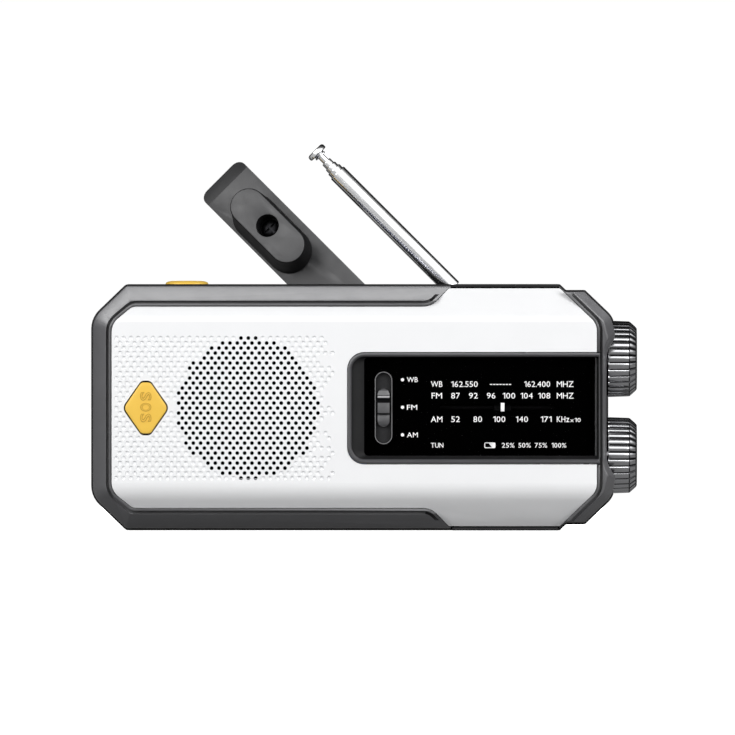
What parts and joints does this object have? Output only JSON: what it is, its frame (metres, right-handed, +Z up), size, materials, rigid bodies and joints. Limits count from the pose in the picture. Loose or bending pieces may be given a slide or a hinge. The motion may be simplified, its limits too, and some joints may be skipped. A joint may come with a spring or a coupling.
{
  "type": "hand-crank emergency radio",
  "caption": "Hand-crank emergency radio with a white front, grey corner guards, sound grille, tuning dial, side knobs, push buttons, folding crank and telescopic aerial.",
  "frame": {"origin": "middle of the case's flat underside", "axes": "+X to the right as seen from the front, towards the knobs; -Y is the front; +Z up"},
  "size_m": [0.1713, 0.0815, 0.1218],
  "materials": {
    "panel_white": "satin gloss",
    "case_grey": "fine satin texture",
    "case_dark": "fine satin texture",
    "bezel_grey": "satin",
    "lens_clear": "polished",
    "scale_black": "gloss",
    "mark_white": "satin",
    "steel": "satin",
    "chrome_bright": "polished",
    "chrome_dark": "polished dark",
    "button_yellow": "satin",
    "board_green": "solder mask",
    "part_black": "matte",
    "grip_grey": "satin",
    "cone_paper": "matte",
    "magnet_steel": "satin",
    "cell_blue": "shrink wrap",
    "ferrite": "matte",
    "copper": "enamelled wire",
    "cap_white": "satin",
    "lamp_clear": "polished",
    "reflector": "polished",
    "led": "polished",
    "solar": "polished",
    "rubber_black": "matte",
    "gear_nylon": "satin"
  },
  "bodies": {
    "case": {"rear_shell": "case_dark", "bumper_left": "case_grey", "bumper_right": "case_grey", "front_cover": "panel_white", "dial_bezel": "bezel_grey", "dial_lens": "lens_clear", "dial_scale": "scale_black", "pointer_rail": "steel", "band_switch": "steel", "sos_switch": "board_green", "top_switch": "board_green", "tuning_capacitor": "cap_white", "volume_pot": "steel", "speaker_frame": "magnet_steel", "speaker_cone": "cone_paper", "speaker_magnet": "magnet_steel", "main_pcb": "board_green", "battery_cell": "cell_blue", "battery_holder": "part_black", "ferrite_rod": "ferrite", "aerial_coil": "copper", "torch_lens": "lamp_clear", "torch_reflector": "reflector", "torch_led": "led", "solar_panel": "solar", "port_board": "part_black", "charge_socket": "steel", "usb_socket": "steel", "case_screw_1": "steel", "case_screw_2": "steel", "case_screw_3": "steel", "case_screw_4": "steel", "generator_can": "steel", "gear_plate": "steel", "aerial_pivot": "chrome_bright"},
    "crank_hub": {"crank_hub": "case_dark", "crank_pin": "steel", "drive_gear": "gear_nylon"},
    "crank_arm": {"crank_arm": "grip_grey", "grip_screw": "steel"},
    "crank_grip": {"crank_grip": "grip_grey"},
    "idler": {"idler_gear": "gear_nylon"},
    "rotor": {"generator_rotor": "magnet_steel"},
    "aerial_base": {"aerial_knuckle": "chrome_bright", "aerial_tube_1": "chrome_bright"},
    "aerial_2": {"aerial_tube_2": "chrome_bright"},
    "aerial_3": {"aerial_tube_3": "chrome_bright"},
    "aerial_4": {"aerial_tube_4": "chrome_bright"},
    "aerial_5": {"aerial_rod": "chrome_bright"},
    "tuning": {"tuning_knob": "chrome_dark", "tuning_shaft": "steel"},
    "volume": {"volume_knob": "chrome_dark", "volume_shaft": "steel"},
    "pointer": {"dial_pointer": "mark_white"},
    "band": {"band_slider": "part_black"},
    "sos": {"sos_button": "button_yellow"},
    "top_btn": {"top_button": "button_yellow"},
    "flap": {"port_flap": "rubber_black"}
  },
  "joints": [
    {"name": "crank_spin", "type": "hinge", "parent": "case", "child": "crank_hub", "pos_m": [0.01645, 0.0245, 0.05206], "axis": [0, 1, 0], "continuous": true},
    {"name": "crank_fold", "type": "hinge", "parent": "crank_hub", "child": "crank_arm", "pos_m": [0.01645, 0.0304, 0.05206], "axis": [-0.7071, 0, -0.7071], "range_deg": [-14.5, 165.5]},
    {"name": "grip_spin", "type": "hinge", "parent": "crank_arm", "child": "crank_grip", "pos_m": [-0.02463, 0.04542, 0.09313], "axis": [0.177, 0.9681, -0.177], "continuous": true},
    {"name": "idler_spin", "type": "hinge", "parent": "case", "child": "idler", "pos_m": [0.02525, 0.01, 0.03682], "axis": [0, 1, 0], "continuous": true},
    {"name": "rotor_spin", "type": "hinge", "parent": "case", "child": "rotor", "pos_m": [0.02525, 0.01, 0.01922], "axis": [0, 1, 0], "continuous": true},
    {"name": "aerial_swing", "type": "hinge", "parent": "case", "child": "aerial_base", "pos_m": [0.03661, 0.0219, 0.0705], "axis": [0, 1, 0], "range_deg": [-45, 80]},
    {"name": "aerial_extend", "type": "slide", "parent": "aerial_base", "child": "aerial_2", "axis": [-0.7071, 0, 0.7071], "range_m": [0, 0.046]},
    {"name": "aerial_extend_2", "type": "slide", "parent": "aerial_2", "child": "aerial_3", "axis": [-0.7071, 0, 0.7071], "range_m": [0, 0.046]},
    {"name": "aerial_extend_3", "type": "slide", "parent": "aerial_3", "child": "aerial_4", "axis": [-0.7071, 0, 0.7071], "range_m": [0, 0.046]},
    {"name": "aerial_extend_4", "type": "slide", "parent": "aerial_4", "child": "aerial_5", "axis": [-0.7071, 0, 0.7071], "range_m": [0, 0.046]},
    {"name": "tuning_turn", "type": "hinge", "parent": "case", "child": "tuning", "pos_m": [0.0845, 0, 0.0538], "axis": [-1, 0, 0], "range_deg": [-135, 135]},
    {"name": "pointer_slide", "type": "slide", "parent": "case", "child": "pointer", "axis": [1, 0, 0], "range_m": [-0.015, 0.015]},
    {"name": "volume_turn", "type": "hinge", "parent": "case", "child": "volume", "pos_m": [0.0845, 0, 0.0235], "axis": [-1, 0, 0], "range_deg": [-150, 150]},
    {"name": "band_slide", "type": "slide", "parent": "case", "child": "band", "axis": [0, 0, 1], "range_m": [-0.0046, 0.0046]},
    {"name": "sos_press", "type": "slide", "parent": "case", "child": "sos", "axis": [0, 1, 0], "range_m": [0, 0.0009], "stiffness_N_per_m": 800},
    {"name": "top_press", "type": "slide", "parent": "case", "child": "top_btn", "axis": [0, 0, -1], "range_m": [0, 0.001], "stiffness_N_per_m": 800},
    {"name": "flap_open", "type": "hinge", "parent": "case", "child": "flap", "pos_m": [0.054, 0.02555, 0.0129], "axis": [-1, 0, 0], "range_deg": [0, 110]}
  ],
  "couplings": [
    {"joint": "idler_spin", "follows": "crank_spin", "ratio": -2.6667},
    {"joint": "rotor_spin", "follows": "crank_spin", "ratio": 7.1111},
    {"joint": "aerial_extend_2", "follows": "aerial_extend", "ratio": 1},
    {"joint": "aerial_extend_3", "follows": "aerial_extend", "ratio": 1},
    {"joint": "aerial_extend_4", "follows": "aerial_extend", "ratio": 1},
    {"joint": "pointer_slide", "follows": "tuning_turn", "m_per_rad": 0.0063661}
  ]
}
